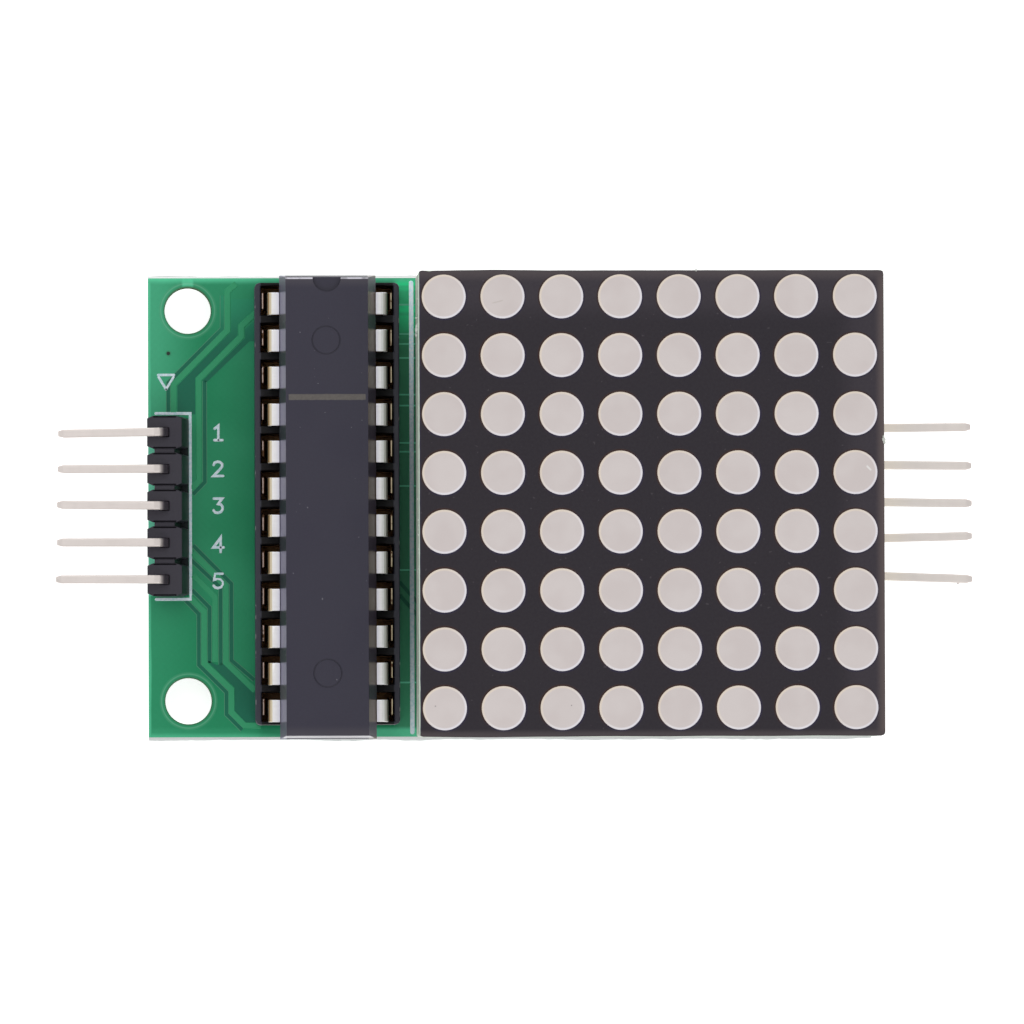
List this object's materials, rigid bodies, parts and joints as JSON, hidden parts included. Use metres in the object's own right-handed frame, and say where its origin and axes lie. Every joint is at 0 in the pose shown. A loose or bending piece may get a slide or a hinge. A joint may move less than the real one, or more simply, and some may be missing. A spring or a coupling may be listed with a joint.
{
  "type": "led dot matrix module",
  "caption": "Square dot matrix LED display plugged on a narrow driver board, with a socketed driver chip and bent pin headers at both ends for chaining modules.",
  "frame": {"origin": "centre of the four screw holes, on the underside of the circuit board", "axes": "+X from the input header to the output header, +Y towards the end with the chip's notch, +Z out of the display's face"},
  "size_m": [0.0632, 0.0321, 0.0158],
  "materials": {
    "solder_mask": "green solder mask on glass epoxy board",
    "chip_plastic": "matt charcoal moulding compound",
    "tinned_lead": "bright tin plate",
    "socket_plastic": "matt black glass filled plastic",
    "contact_bronze": "tinned bronze leaf, brown in its cell",
    "solder": "bright solder",
    "header_plastic": "matt black plastic",
    "display_black": "matt black print",
    "display_body": "pale grey moulding, dots cast in milky resin",
    "led_board": "bare glass epoxy board",
    "backfill": "poured milky resin",
    "tinned_wire": "tinned wire",
    "can_sleeve": "dark sleeve on an aluminium can",
    "ceramic_dip": "ochre dip",
    "resistor_coat": "beige lacquer with colour bands",
    "pin_plating": "dull tin plate on brass"
  },
  "bodies": {
    "root": {"ceramic_capacitor": "ceramic_dip", "ceramic_wires": "tinned_wire", "chip_body": "chip_plastic", "chip_leads": "tinned_lead", "chip_socket_contacts": "contact_bronze", "chip_socket_frame": "socket_plastic", "chip_socket_solder": "solder", "circuit_board": "solder_mask", "display_backfill": "backfill", "display_body": "display_body", "display_face": "display_black", "display_pins": "tinned_wire", "display_strip_solder": "solder", "electrolytic_can": "can_sleeve", "electrolytic_wires": "tinned_wire", "input_header_block": "header_plastic", "input_header_solder": "solder", "input_pin_1": "pin_plating", "input_pin_2": "pin_plating", "input_pin_3": "pin_plating", "input_pin_4": "pin_plating", "input_pin_5": "pin_plating", "led_board": "led_board", "left_display_strip": "header_plastic", "output_header_block": "header_plastic", "output_header_solder": "solder", "output_pin_1": "pin_plating", "output_pin_2": "pin_plating", "output_pin_3": "pin_plating", "output_pin_4": "pin_plating", "output_pin_5": "pin_plating", "resistor_body": "resistor_coat", "resistor_wires": "tinned_wire", "right_display_strip": "header_plastic", "small_part_solder": "solder"}
  },
  "joints": []
}
